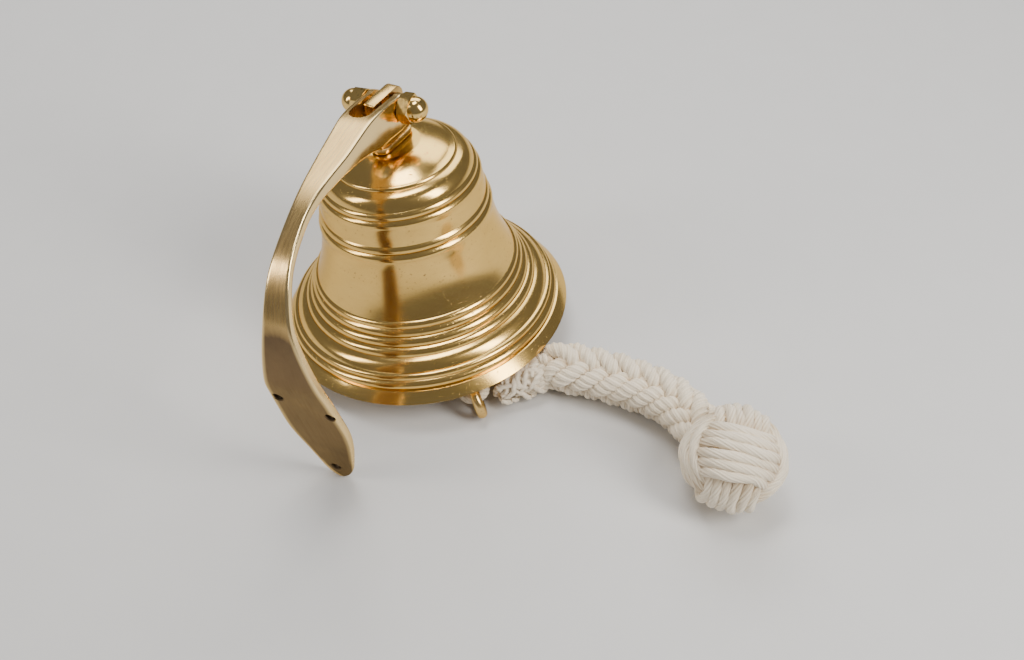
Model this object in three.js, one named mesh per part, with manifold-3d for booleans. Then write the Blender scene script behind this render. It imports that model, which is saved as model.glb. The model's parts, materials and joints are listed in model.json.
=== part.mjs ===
// A cast brass ship's bell with a folding wall bracket, a hanging clapper and a plaited cotton lanyard.
// Millimetres, +Z up.  The bell stands mouth down with one side of its rim propped on the lanyard's neck.
// "Bell frame" below means the bell's own axes: z = 0 on the rim plane, z along the bell's axis, x along
// the pivot stud.  The bracket reaches out towards -y.
import * as THREE from 'three';
import * as BufferGeometryUtils from 'three/addons/utils/BufferGeometryUtils.js';
import Module from 'manifold-3d';

const wasm = await Module();
wasm.setup();

// ---- driving dimensions ---------------------------------------------------------------------------------
const GAP = 0.3;                                            // left between pieces that touch
const RIM_CENTRE = new THREE.Vector3(0.1, 25.9, 11.2);      // where the rim's centre stands
const LEAN_AXIS = new THREE.Vector3(-0.33, -0.944, 0).normalize();
const LEAN = THREE.MathUtils.degToRad(8.56);                // tilt given by the propped rim
const SHELL_SEGMENTS = 48;

const PIVOT_HEIGHT = 126.3;                                 // pivot stud above the rim plane
const STUD_RADIUS = 3.9;
const PIVOT_HOLE_RADIUS = 4.3;
const NUT_ACROSS_FLATS = 13;
const NUT_HEX_HEIGHT = 6;
const NUT_DOME_RADIUS = 6.1;

const HANGER = { length: 22.5, thickness: 6.2, top: 6.6, yaw: THREE.MathUtils.degToRad(-9.5) };
const FOOT = { length: 26, width: 10.5, thickness: 3, seat: 105.6 };
const STEM_RADIUS = 4.6;
const CROWN_HOLE_RADIUS = 5;
const CROWN_INSIDE = 100;

const FORK = { width: 18, slot: 11, slotEnd: 26.5, back: 9.2 };
const BRACKET_SKEW = 0.0455;                                // sideways set of the arm per unit of reach,
const SKEW_FROM = 10;                                       // counted from just outside the fork's bolt
const PLATE_THICKNESS = 4;
const TIP_THINNING = 1.8;                                   // how much of that is drawn off by the tip
const SCREW_HOLE_RADIUS = 2.4;

const EYE_WIRE = 1.9;                                       // crown eye, link and clapper head
const EYE_RING = 5.2;
const LINK_RING = 6.6;
const ROD_RADIUS = 3;
const BALL_RADIUS = 10;
const BALL_DISTANCE = 54;                                   // from the clapper's pivot
const TAIL_WIRE = 2.6;
const TAIL_RING = 7.4;
const TAIL_CENTRE = new THREE.Vector3(50.2, -48.6, 10.1);   // from the rim's centre, on the ground

const ROPE_RADIUS = 14;
const KNOT_RADIUS = 26;
const LOOP_STRAND = 3.0;

// ---- materials ------------------------------------------------------------------------------------------
const polished = new THREE.MeshStandardMaterial({ color: 0xd9ac5c, roughness: 0.18, metalness: 1 });
const satin = new THREE.MeshStandardMaterial({ color: 0xc9a062, roughness: 0.32, metalness: 1 });
const bright = new THREE.MeshStandardMaterial({ color: 0xe2b964, roughness: 0.15, metalness: 1 });
const aged = new THREE.MeshStandardMaterial({ color: 0xa07f45, roughness: 0.4, metalness: 1 });
const cotton = new THREE.MeshStandardMaterial({ color: 0xe9e0cf, roughness: 0.95, metalness: 0 });

// ---- helpers --------------------------------------------------------------------------------------------
const Z = new THREE.Vector3(0, 0, 1);

function toSolid(geometry) {
  const plain = geometry.clone();
  plain.deleteAttribute('normal');
  plain.deleteAttribute('uv');
  const merged = BufferGeometryUtils.mergeVertices(plain, 1e-3);
  return new wasm.Manifold(new wasm.Mesh({
    numProp: 3,
    vertProperties: new Float32Array(merged.attributes.position.array),
    triVerts: new Uint32Array(merged.index.array),
  }));
}

function toGeometry(solid) {
  const mesh = solid.getMesh();
  const geometry = new THREE.BufferGeometry();
  geometry.setAttribute('position', new THREE.BufferAttribute(new Float32Array(mesh.vertProperties), 3));
  geometry.setIndex(new THREE.BufferAttribute(new Uint32Array(mesh.triVerts), 1));
  geometry.computeVertexNormals();
  return geometry;
}

const cut = (geometry, ...tools) =>
  toGeometry(tools.reduce((solid, tool) => solid.subtract(toSolid(tool)), toSolid(geometry)));
const join = (...geometries) =>
  toGeometry(geometries.slice(1).reduce((solid, next) => solid.add(toSolid(next)), toSolid(geometries[0])));

function piece(parent, name, geometry, material) {
  const mesh = new THREE.Mesh(geometry, material);
  mesh.name = name;
  parent.add(mesh);
  return mesh;
}

// A lathe turned about +Z from [radius, height] pairs.
function turned(profile, segments) {
  const points = profile.map(([r, h]) => new THREE.Vector2(r, h));
  return new THREE.LatheGeometry(points, segments).rotateX(Math.PI / 2);
}

// A cylinder along X, centred on the origin.
const rodAlongX = (radius, length, segments = 24) =>
  new THREE.CylinderGeometry(radius, radius, length, segments).rotateZ(Math.PI / 2);

// A closed skin through rings that all have the same number of points, with a flat cap at each end.
function loft(rings) {
  const count = rings[0].length;
  const positions = rings.flat().concat([middle(rings[0]), middle(rings.at(-1))]);
  const index = [];
  for (let ring = 0; ring < rings.length - 1; ring += 1) {
    for (let i = 0; i < count; i += 1) {
      const a = ring * count + i;
      const b = ring * count + (i + 1) % count;
      index.push(a, b, b + count, a, b + count, a + count);
    }
  }
  const start = rings.length * count;
  const last = (rings.length - 1) * count;
  for (let i = 0; i < count; i += 1) {
    const next = (i + 1) % count;
    index.push(start, next, i, start + 1, last + i, last + next);
  }
  const geometry = new THREE.BufferGeometry().setFromPoints(positions);
  geometry.setIndex(index);
  return geometry;
}

function middle(ring) {
  return ring.reduce((sum, point) => sum.add(point), new THREE.Vector3()).divideScalar(ring.length);
}

// Points of a round ring of the given radius, square to a direction, first point as high as it can be.
function roundRing(centre, direction, radius, count) {
  const side = new THREE.Vector3().crossVectors(direction, Z).normalize();
  const up = new THREE.Vector3().crossVectors(side, direction).normalize();
  return Array.from({ length: count }, (_, i) => {
    const turn = (i / count) * 2 * Math.PI;
    return centre.clone()
      .addScaledVector(up, radius * Math.cos(turn))
      .addScaledVector(side, radius * Math.sin(turn));
  });
}

// A turn that carries +Z onto one direction and +X as near as it can to another.
function facing(zAxis, xHint) {
  const z = zAxis.clone().normalize();
  const y = new THREE.Vector3().crossVectors(z, xHint).normalize();
  return new THREE.Matrix4().makeBasis(new THREE.Vector3().crossVectors(y, z), y, z);
}

// ---- frames ---------------------------------------------------------------------------------------------
const assembly = new THREE.Group();
const bellFrame = new THREE.Group();
bellFrame.position.copy(RIM_CENTRE);
bellFrame.quaternion.setFromAxisAngle(LEAN_AXIS, LEAN);
assembly.add(bellFrame);
bellFrame.updateMatrixWorld(true);
const stands = (x, y, z) => new THREE.Vector3(RIM_CENTRE.x + x, RIM_CENTRE.y + y, z);

// ---- bell shell -----------------------------------------------------------------------------------------
// The outside runs from the rim up to the crown.  Each row is the [radius, height] of the end of one
// moulding and how far the moulding bulges outwards between its ends.
const OUTSIDE = [
  [74.4, 0, 0], [75, 0.6, 0], [70.9, 5.6, 0.1], [69.8, 5.9, 0],
  [68, 10.3, 1.2], [65.6, 13.5, 1.1],
  [59.9, 18.4, 0.9],
  [56.8, 22.4, 1], [54.4, 26.7, 1], [52.8, 31, 0.9], [51, 34.3, 0.8],
  [43.5, 64.7, -1.5],
  [42.2, 69, 0.9], [41.5, 73.4, 0.9],
  [40.5, 82.9, 0.2],
  [39.1, 87, 0.9], [37.7, 90.8, 0.9],
  [30.6, 98.1, 1.6],
  [29, 99.9, 0.5],
  [13.9, 105.6, 0.9],
];
const INSIDE = [
  [19, 99.4], [27, 96.2], [32.8, 88], [36.2, 74.5], [38.4, 61.5], [42, 46.5], [47, 31], [52.2, 21],
  [58.4, 11.5], [63.4, 4.8], [66.6, 1.2],
];

function mouldingArc([r0, h0], [r1, h1, bulge], steps) {
  const along = new THREE.Vector2(r1 - r0, h1 - h0);
  const out = new THREE.Vector2(along.y, -along.x).normalize();
  return Array.from({ length: steps }, (_, i) => {
    const t = (i + 1) / steps;
    const lift = bulge * 4 * t * (1 - t);
    return [r0 + along.x * t + out.x * lift, h0 + along.y * t + out.y * lift];
  });
}

function shellProfile() {
  const profile = [[OUTSIDE[0][0], OUTSIDE[0][1]]];
  for (let i = 1; i < OUTSIDE.length; i += 1) {
    const [, , bulge] = OUTSIDE[i];
    const steps = Math.abs(bulge) < 0.3 ? 1 : Math.abs(bulge) > 1.3 ? 4 : 2;
    profile.push(...mouldingArc(OUTSIDE[i - 1], OUTSIDE[i], steps));
  }
  profile.push([CROWN_HOLE_RADIUS, FOOT.seat], [CROWN_HOLE_RADIUS, CROWN_INSIDE]);
  profile.push([12, CROWN_INSIDE], ...INSIDE, [67.4, 0], profile[0]);
  return profile;
}

piece(bellFrame, 'bell_shell', turned(shellProfile(), SHELL_SEGMENTS), polished);

// ---- heights of the pieces stacked on the hanger's stem inside the crown ---------------------------------
const WASHER = { radius: 10, thickness: 1.2 };
const CROWN_NUT = { acrossFlats: 16, height: 5 };
const EYE_BOSS = { radius: 6.4, height: 5.6 };
const washerFloor = CROWN_INSIDE - GAP - WASHER.thickness;
const nutFloor = washerFloor - GAP - CROWN_NUT.height;
const bossTop = nutFloor - GAP;
const bossFloor = bossTop - EYE_BOSS.height;
const stemEnd = bossFloor + 1.6;
const crownEyeCentre = bossFloor - EYE_RING - EYE_WIRE + 1.2;

// ---- hanger: an upright bar on a thin foot, with a threaded stem down through the crown -------------------
function hangerBar() {
  const half = HANGER.length / 2;
  const top = PIVOT_HEIGHT + HANGER.top;
  const bottom = FOOT.seat + GAP + FOOT.thickness - 0.5;
  const outline = new THREE.Shape();
  outline.moveTo(-half, bottom);
  outline.lineTo(half, bottom);
  outline.lineTo(half, top - 5);
  outline.quadraticCurveTo(half, top, half - 5, top);
  outline.lineTo(-half + 1, top);
  outline.lineTo(-half, top - 1);
  const bar = new THREE.ExtrudeGeometry(outline, {
    depth: HANGER.thickness - 0.8, bevelEnabled: true, bevelSize: 0.4, bevelThickness: 0.4,
    bevelSegments: 1, bevelOffset: -0.4, curveSegments: 4,
  });
  return bar.translate(0, 0, 0.4 - HANGER.thickness / 2).rotateX(Math.PI / 2).rotateZ(Math.PI / 2);
}

function hangerFoot() {
  const side = FOOT.width / 2;
  const straight = FOOT.length / 2 - side;
  const outline = new THREE.Shape();
  outline.moveTo(-side, -straight);
  outline.absarc(0, -straight, side, Math.PI, 2 * Math.PI);
  outline.absarc(0, straight, side, 0, Math.PI);
  return new THREE.ExtrudeGeometry(outline, { depth: FOOT.thickness, bevelEnabled: false, curveSegments: 10 })
    .translate(0, 0, FOOT.seat + GAP);
}

function hanger() {
  const stemTop = FOOT.seat + GAP + 1;
  const stem = new THREE.CylinderGeometry(STEM_RADIUS, STEM_RADIUS, stemTop - stemEnd, 20)
    .rotateX(Math.PI / 2).translate(0, 0, (stemTop + stemEnd) / 2);
  const body = join(hangerBar(), hangerFoot(), stem).rotateZ(HANGER.yaw);
  return cut(body, rodAlongX(PIVOT_HOLE_RADIUS, 40).translate(0, 0, PIVOT_HEIGHT));
}

piece(bellFrame, 'hanger', hanger(), satin);

// ---- inside the crown: washer, nut and the eye that carries the clapper -----------------------------------
function collar(outer, inner, low, high, segments) {
  return turned([[inner, low], [outer, low], [outer, high], [inner, high], [inner, low]], segments);
}

piece(bellFrame, 'crown_washer',
  collar(WASHER.radius, STEM_RADIUS + GAP, washerFloor, washerFloor + WASHER.thickness, 24), aged);
piece(bellFrame, 'crown_nut',
  collar(CROWN_NUT.acrossFlats / Math.sqrt(3), STEM_RADIUS / Math.cos(Math.PI / 6) + GAP, nutFloor,
    nutFloor + CROWN_NUT.height, 6),
  aged);

// The clapper leans towards the propped side of the rim; its link hangs plumb from the crown eye.
const toBell = bellFrame.matrixWorld.clone().invert();
const eyeBar = new THREE.Vector3(0, 0, crownEyeCentre - EYE_RING).applyMatrix4(bellFrame.matrixWorld);
const linkReach = 2 * (LINK_RING - EYE_WIRE) - 2 * GAP;
const clapperPivot = eyeBar.clone().addScaledVector(Z, -linkReach);
const tailCentre = stands(TAIL_CENTRE.x, TAIL_CENTRE.y, TAIL_CENTRE.z);
const clapperAxis = tailCentre.clone().sub(clapperPivot).normalize();
const leanWay = new THREE.Vector3(clapperAxis.x, clapperAxis.y, 0).normalize();
const swingAxis = new THREE.Vector3().crossVectors(Z, leanWay);

function ring(centre, normal, radius, wire, arcs = 24, sides = 10) {
  return new THREE.TorusGeometry(radius, wire, sides, arcs)
    .applyMatrix4(facing(normal, Z).setPosition(centre));
}

function crownEye() {
  const leanInBell = leanWay.clone().transformDirection(toBell);
  const across = new THREE.Vector3().crossVectors(Z, leanInBell);
  const eye = ring(new THREE.Vector3(0, 0, crownEyeCentre), across, EYE_RING, EYE_WIRE);
  const bore = STEM_RADIUS + GAP;
  const boss = turned([[0, bossFloor], [EYE_BOSS.radius - 1.5, bossFloor], [EYE_BOSS.radius, bossFloor + 1.5],
    [EYE_BOSS.radius, bossTop], [bore, bossTop], [bore, stemEnd - GAP], [0, stemEnd - GAP]], 20);
  return join(eye, boss);
}

piece(bellFrame, 'crown_eye', crownEye(), satin);

const linkCentre = clapperPivot.clone().addScaledVector(Z, LINK_RING);
piece(assembly, 'clapper_link', ring(linkCentre, leanWay, LINK_RING, EYE_WIRE), satin);

// ---- clapper --------------------------------------------------------------------------------------------
const alongClapper = (distance) => clapperPivot.clone().addScaledVector(clapperAxis, distance);
const headCentre = EYE_RING - 2 * EYE_WIRE - GAP;

function clapperRod() {
  const head = ring(alongClapper(headCentre), swingAxis, EYE_RING, EYE_WIRE);
  const start = headCentre + EYE_RING;
  const end = clapperPivot.distanceTo(tailCentre) - TAIL_RING - TAIL_WIRE - 5;
  const shaft = turned([[0, start], [2.4, start], [ROD_RADIUS, start + 4], [ROD_RADIUS, end], [0, end]], 16)
    .applyMatrix4(facing(clapperAxis, Z).setPosition(clapperPivot));
  return join(head, shaft);
}

function clapperBall() {
  const steps = 12;
  const bore = ROD_RADIUS + GAP;
  const tilt = Math.asin(bore / BALL_RADIUS);
  const profile = [];
  for (let i = 0; i <= steps; i += 1) {
    const angle = -Math.PI / 2 + tilt + (i / steps) * (Math.PI - 2 * tilt);
    profile.push([BALL_RADIUS * Math.cos(angle), BALL_RADIUS * Math.sin(angle)]);
  }
  profile.push(profile[0]);
  return turned(profile, 24).applyMatrix4(facing(clapperAxis, Z).setPosition(alongClapper(BALL_DISTANCE)));
}

// The tail eye stands on edge, its hole facing across the clapper's lean.
const tailNormal = new THREE.Vector3(0.776, 0.588, 0.227).projectOnPlane(clapperAxis).normalize();

function tailEye() {
  const eye = ring(tailCentre, tailNormal, TAIL_RING, TAIL_WIRE, 28, 10);
  const neck = turned([[0, 0], [3.2, 0], [3.2, 4.7 + 1.5], [0, 4.7 + 1.5]], 16);
  const start = clapperPivot.distanceTo(tailCentre) - TAIL_RING - TAIL_WIRE - 5 + GAP;
  neck.applyMatrix4(facing(clapperAxis, Z).setPosition(alongClapper(start)));
  return join(eye, neck);
}

piece(assembly, 'clapper_rod', clapperRod(), satin);
piece(assembly, 'clapper_ball', clapperBall(), polished);
piece(assembly, 'clapper_tail_eye', tailEye(), satin);

// ---- wall bracket ---------------------------------------------------------------------------------------
// Each row is one station of the bracket's outer face: how far out from the pivot it lies, how far above,
// the width there and the thickness behind the face.
const ARM = [
  [0, 6, 18, 17.5], [23.9, 10.5, 17.2, 17], [37.8, 10.2, 16, 12.5], [51.4, 9.2, 14.9, 8.4],
  [63.8, 8.8, 12.7, 6.8], [76.7, 8, 10.6, 5.6], [89.4, 5.5, 9, 4.8], [101, 0.9, 9.2, 4.4],
  [110.5, -4.1, 9.9, 4.2], [117.5, -10.3, 11, 4], [123.6, -19.3, 12.6, 4], [128.2, -30.1, 14.9, 4],
  [130.2, -44.6, 21, 4],
];
const PLATE_TOP = new THREE.Vector2(130, -61);              // where the flat wall face begins
const PLATE_TIP = new THREE.Vector2(109.4, -143.7);
// Distance down the flat face and the width there; the last stretch rounds off to the tip.
const PLATE_WIDTHS = [[0, 27.8], [8, 29.4], [24, 31], [38, 31.8], [47, 29.8], [55, 26], [63, 21.6], [73, 18.2]];
const SCREW_HOLES = [[-11.2, 13], [12.6, 22], [-2, 75]];      // across, and down the flat face

const skewAt = (reach) => BRACKET_SKEW * Math.max(0, reach - SKEW_FROM);

function bracketSection(outer, tangent, width, depth) {
  const inward = new THREE.Vector2(-tangent.y, tangent.x).negate();
  const corner = Math.min(1, depth / 3, width / 3);
  const half = width / 2;
  const softened = [
    [-half, corner], [-half + 0.3 * corner, 0.3 * corner], [-half + corner, 0],
    [half - corner, 0], [half - 0.3 * corner, 0.3 * corner], [half, corner],
    [half, depth - corner], [half - 0.3 * corner, depth - 0.3 * corner], [half - corner, depth],
    [-half + corner, depth], [-half + 0.3 * corner, depth - 0.3 * corner], [-half, depth - corner],
  ];
  return softened.reverse().map(([across, deep]) => new THREE.Vector3(
    across + skewAt(outer.x), -(outer.x + inward.x * deep), PIVOT_HEIGHT + outer.y + inward.y * deep));
}

function bracketStations() {
  const stations = [];
  const [, crownRise, , headDepth] = ARM[0];
  for (const turn of [84, 66, 45, 22]) {
    const angle = THREE.MathUtils.degToRad(turn);
    const depth = headDepth * Math.cos(angle);
    const outer = new THREE.Vector2(-FORK.back * Math.sin(angle), crownRise - (headDepth - depth) / 2);
    stations.push([outer, new THREE.Vector2(1, 0), FORK.width, depth]);
  }
  const way = PLATE_TIP.clone().sub(PLATE_TOP).normalize();
  const line = new THREE.CatmullRomCurve3([
    ...ARM.map(([out, up]) => new THREE.Vector3(out, up, 0)),
    new THREE.Vector3(PLATE_TOP.x, PLATE_TOP.y, 0),
    new THREE.Vector3(PLATE_TOP.x + 12 * way.x, PLATE_TOP.y + 12 * way.y, 0),
  ], false, 'centripetal');
  const sizes = new THREE.CatmullRomCurve3([
    ...ARM.map(([, , width, depth]) => new THREE.Vector3(width, depth, 0)),
    new THREE.Vector3(PLATE_WIDTHS[0][1], PLATE_THICKNESS, 0),
    new THREE.Vector3(PLATE_WIDTHS[1][1], PLATE_THICKNESS, 0),
  ], false, 'centripetal');
  const spans = ARM.length + 1;
  const perSpan = 2;
  for (let i = 0; i < (spans - 1) * perSpan; i += 1) {
    const t = i / (spans * perSpan);
    const outer = line.getPoint(t);
    const tangent = line.getTangent(t);
    const size = sizes.getPoint(t);
    stations.push([new THREE.Vector2(outer.x, outer.y), new THREE.Vector2(tangent.x, tangent.y), size.x, size.y]);
  }
  const length = PLATE_TIP.distanceTo(PLATE_TOP);
  const down = (distance, width) => stations.push([PLATE_TOP.clone().addScaledVector(way, distance), way, width,
    PLATE_THICKNESS - TIP_THINNING * (distance / length) ** 3]);
  PLATE_WIDTHS.forEach(([distance, width]) => down(distance, width));
  const [roundStart, roundWidth] = PLATE_WIDTHS.at(-1);
  for (let i = 1; i <= 5; i += 1) {
    const angle = THREE.MathUtils.degToRad(i * 16.8);
    down(roundStart + (length - roundStart) * Math.sin(angle), roundWidth * Math.cos(angle));
  }
  return stations;
}

function wallBracket() {
  const rings = bracketStations().map((station) => bracketSection(...station));
  const slot = new THREE.Shape();
  slot.moveTo(-FORK.slot / 2, 20);
  slot.lineTo(-FORK.slot / 2, FORK.slot / 2 - FORK.slotEnd);
  slot.absarc(0, FORK.slot / 2 - FORK.slotEnd, FORK.slot / 2, Math.PI, 2 * Math.PI);
  slot.lineTo(FORK.slot / 2, 20);
  const slotTool = new THREE.ExtrudeGeometry(slot, { depth: 50, bevelEnabled: false, curveSegments: 8 })
    .translate(0, 0, PIVOT_HEIGHT - 25);
  const way = PLATE_TIP.clone().sub(PLATE_TOP).normalize();
  const drills = SCREW_HOLES.map(([across, distance]) => {
    const at = PLATE_TOP.clone().addScaledVector(way, distance);
    return new THREE.CylinderGeometry(SCREW_HOLE_RADIUS, SCREW_HOLE_RADIUS, 30, 16)
      .rotateX(Math.atan2(way.x, way.y) - Math.PI)
      .translate(across + skewAt(at.x), -at.x, PIVOT_HEIGHT + at.y);
  });
  return cut(loft(rings), slotTool, rodAlongX(STUD_RADIUS + GAP, 60).translate(0, 0, PIVOT_HEIGHT), ...drills);
}

piece(bellFrame, 'wall_bracket', wallBracket(), satin);

// ---- pivot stud and its dome nuts -----------------------------------------------------------------------
const nutSeat = FORK.width / 2 + GAP;
const STUD_REACH = nutSeat + 9;
piece(bellFrame, 'pivot_stud', rodAlongX(STUD_RADIUS, 2 * STUD_REACH).translate(0, 0, PIVOT_HEIGHT), satin);

// A dome nut seated on z = 0 and standing along +Z: a chamfered hexagon under a round dome, bored blind.
function domeNut() {
  const corner = NUT_ACROSS_FLATS / Math.sqrt(3);
  const hexagon = new THREE.CylinderGeometry(corner, corner, NUT_HEX_HEIGHT, 6)
    .rotateX(Math.PI / 2).translate(0, 0, NUT_HEX_HEIGHT / 2);
  const chamfer = turned([[0, 0], [corner - 0.7, 0], [corner + 0.1, 0.7], [corner + 0.1, NUT_HEX_HEIGHT - 1.1],
    [corner - 1.2, NUT_HEX_HEIGHT], [0, NUT_HEX_HEIGHT]], 24);
  const steps = 7;
  const dome = [[0, NUT_HEX_HEIGHT - 1], [NUT_DOME_RADIUS, NUT_HEX_HEIGHT - 1]];
  for (let i = 0; i <= steps; i += 1) {
    const angle = (i / steps) * Math.PI / 2;
    dome.push([i === steps ? 0 : NUT_DOME_RADIUS * Math.cos(angle),
      NUT_HEX_HEIGHT + 0.9 + NUT_DOME_RADIUS * Math.sin(angle)]);
  }
  const body = toSolid(hexagon).intersect(toSolid(chamfer)).add(toSolid(turned(dome, 24)));
  const bore = new THREE.CylinderGeometry(STUD_RADIUS + GAP, STUD_RADIUS + GAP, 20, 24)
    .rotateX(Math.PI / 2).translate(0, 0, STUD_REACH - nutSeat + GAP - 10);
  return toGeometry(body.subtract(toSolid(bore)));
}

for (const [name, side, twist] of [['dome_nut_right', 1, 0.35], ['dome_nut_left', -1, 0.1]]) {
  const nut = piece(bellFrame, name, domeNut().rotateZ(twist).rotateY(side * Math.PI / 2), bright);
  nut.position.set(side * nutSeat, 0, PIVOT_HEIGHT);
}

// ---- lanyard --------------------------------------------------------------------------------------------
// Its route from the tail eye, under the rim and over the ground to the middle of the knot: where it lies,
// the height of its middle and its radius there.
const NECK_ROUTE = [
  [58.2, -40.8, 9, 4.4], [60.8, -35.6, 8.8, 6.4], [65, -29.2, 9.4, 8.5], [70.8, -22.9, 10.4, 9.9],
  [77, -18.2, 11.6, 11],
];
const ROPE_ROUTE = [
  [83.6, -15.9, 14.2], [91, -14.6, 14.2], [98.5, -13.8, 14.2], [106.5, -13.4, 14.2], [115, -13.2, 14.2],
  [124, -13.4, 14.2], [133, -14.2, 14.2], [142, -16.4, 14.2], [150, -20.2, 14.2], [157, -25.2, 14.2],
  [163, -30.8, 14.2], [172, -39.3, 14.2], [181.2, -48, 14.2],
];
const ROPE_SIDES = 12;
const routePoints = [...NECK_ROUTE, ...ROPE_ROUTE].map(([x, y, z]) => stands(x, y, z));
const route = new THREE.CatmullRomCurve3(routePoints, false, 'centripetal');
const routeAt = (station) => station / (routePoints.length - 1);
const knotCentre = stands(181.2, -48, KNOT_RADIUS + 0.2);

const ROPE_STEPS = 9;
const ropeLine = new THREE.CatmullRomCurve3(Array.from({ length: ROPE_STEPS + 1 }, (_, i) =>
  route.getPoint(routeAt(NECK_ROUTE.length + (i / ROPE_STEPS) * (ROPE_ROUTE.length - 1)))), false, 'centripetal');

function neck() {
  const rings = NECK_ROUTE.map(([, , , radius], i) =>
    roundRing(route.getPoint(routeAt(i)), route.getTangent(routeAt(i)), radius, ROPE_SIDES));
  const way = ropeLine.getTangent(0);
  const end = ropeLine.getPoint(0).addScaledVector(way, -GAP);
  return loft([...rings, roundRing(end, way, ROPE_RADIUS - 0.8, ROPE_SIDES)]);
}

function ropeTube() {
  const section = new THREE.Shape().setFromPoints(
    Array.from({ length: ROPE_SIDES }, (_, i) => new THREE.Vector2(
      ROPE_RADIUS * Math.cos((i / ROPE_SIDES) * 2 * Math.PI),
      ROPE_RADIUS * Math.sin((i / ROPE_SIDES) * 2 * Math.PI))));
  const tube = new THREE.ExtrudeGeometry(section, {
    steps: ROPE_STEPS, bevelEnabled: false, extrudePath: ropeLine,
  });
  return cut(tube, new THREE.SphereGeometry(KNOT_RADIUS + GAP, 20, 14).translate(...knotCentre.toArray()));
}

// The loop holds the upper far part of the tail eye.
function eyeLoop() {
  const far = new THREE.Vector3().crossVectors(tailNormal, clapperAxis).normalize();
  if (far.y < 0) far.negate();
  const radial = far.clone().sub(clapperAxis).normalize();
  const held = tailCentre.clone().addScaledVector(radial, TAIL_RING);
  const tangent = new THREE.Vector3().crossVectors(tailNormal, radial);
  return ring(held, tangent, TAIL_RING - 1, LOOP_STRAND, 20, 8);
}

piece(assembly, 'lanyard_loop', eyeLoop(), cotton);
piece(assembly, 'lanyard_neck', neck(), cotton);
piece(assembly, 'lanyard_rope', ropeTube(), cotton);
piece(assembly, 'lanyard_knot',
  new THREE.SphereGeometry(KNOT_RADIUS, 20, 14).translate(...knotCentre.toArray()), cotton);

export default assembly;
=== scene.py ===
# The looks of a cast brass ship's bell with a folding wall bracket, a linked clapper and a plaited cotton
# lanyard that ends in a ball knot.  Shapes are worked out in millimetres and scaled to metres as they are
# made.  "Bell frame" means the bell's own axes: z = 0 on the rim plane, z along the bell, x along the stud.
import json
import math

import bmesh
import bpy
import numpy as np
from mathutils import Matrix, Vector


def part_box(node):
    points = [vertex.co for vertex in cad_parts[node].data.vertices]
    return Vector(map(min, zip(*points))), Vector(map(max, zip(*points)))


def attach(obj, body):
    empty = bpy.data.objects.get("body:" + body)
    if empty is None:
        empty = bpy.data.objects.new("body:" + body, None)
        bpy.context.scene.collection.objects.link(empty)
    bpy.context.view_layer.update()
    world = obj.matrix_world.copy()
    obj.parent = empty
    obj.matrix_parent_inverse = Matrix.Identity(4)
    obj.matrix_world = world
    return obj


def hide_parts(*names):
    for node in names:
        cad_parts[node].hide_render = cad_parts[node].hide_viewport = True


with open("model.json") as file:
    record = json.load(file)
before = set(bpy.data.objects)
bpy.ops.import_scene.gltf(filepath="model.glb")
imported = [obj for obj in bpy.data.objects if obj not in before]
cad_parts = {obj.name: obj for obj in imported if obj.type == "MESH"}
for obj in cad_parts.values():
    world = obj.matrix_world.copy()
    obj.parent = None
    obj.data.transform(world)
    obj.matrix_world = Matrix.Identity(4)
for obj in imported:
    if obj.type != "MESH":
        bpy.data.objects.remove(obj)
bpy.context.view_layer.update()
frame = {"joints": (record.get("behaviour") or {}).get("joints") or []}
MM = 0.001

# ---- driving dimensions, in millimetres ------------------
PIVOT_HEIGHT = 126.3  # the stud's middle above the rim plane
STUD_RADIUS = 3.9
GAP = 0.3  # between pieces that touch
CROWN_SEAT = 105.6  # heights of the crown's top and of its inside, above the rim plane
CROWN_INSIDE = 100
CROWN_HOLE = 5  # radius of the hole through the crown
OUTSIDE = [  # end of each moulding: radius, height, and how far it bulges on the way there
    (74.4, 0, 0), (75, 0.6, 0.1), (70.9, 5.6, 0.1), (69.8, 5.9, 0), (68, 10.3, 1.2), (65.6, 13.5, 1.1),
    (59.9, 18.4, 0.9), (56.8, 22.4, 1), (54.4, 26.7, 1), (52.8, 31, 0.9), (51, 34.3, 0.8), (43.5, 64.7, -1.5),
    (42.2, 69, 0.9), (41.5, 73.4, 0.9), (40.5, 82.9, 0.2), (39.1, 87, 0.9), (37.7, 90.8, 0.9),
    (30.6, 98.1, 1.6), (29, 99.9, 0.5), (13.9, 105.6, 0.9),
]
INSIDE = [  # radius, height
    (19, 99.4), (27, 96.2), (32.8, 88), (36.2, 74.5), (38.4, 61.5), (42, 46.5), (47, 31), (52.2, 21),
    (58.4, 11.5), (63.4, 4.8), (66.6, 1.2), (67.4, 0),
]
ARM = [  # bracket's outer face: reach, rise, width, thickness
    (0, 6, 18, 17.5), (23.9, 10.5, 17.2, 17), (37.8, 10.2, 16, 12.5), (51.4, 9.2, 14.9, 8.4),
    (63.8, 8.8, 12.7, 6.8), (76.7, 8, 10.6, 5.6), (89.4, 5.5, 9, 4.8), (101, 0.9, 9.2, 4.4),
    (110.5, -4.1, 9.9, 4.2), (117.5, -10.3, 11, 4), (123.6, -19.3, 12.6, 4), (128.2, -30.1, 14.9, 4),
    (130.2, -44.6, 21, 4),
]
PLATE_TOP = Vector((130, -61))
PLATE_TIP = Vector((109.4, -143.7))
PLATE_WIDTHS = [  # distance down the plate, and its width there
    (0, 27.8), (8, 29.4), (24, 31), (38, 31.8), (47, 29.8), (55, 26.3), (63, 22.3), (73, 17.4),
]
PLATE_THICKNESS = 4
TIP_START = 30  # how far round its ellipse the plate's rounded tip starts, in degrees
TIP_CLEAR = 0.5  # how far the finer tip stops short, so that it stays above the ground
TIP_THINNING = 1.8  # how much thinner the plate is at its tip
SCREW_HOLES = [(-11.2, 13), (12.6, 22), (-2, 75)]  # across the plate, and down it
SCREW_RADIUS = 2.4
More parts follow.
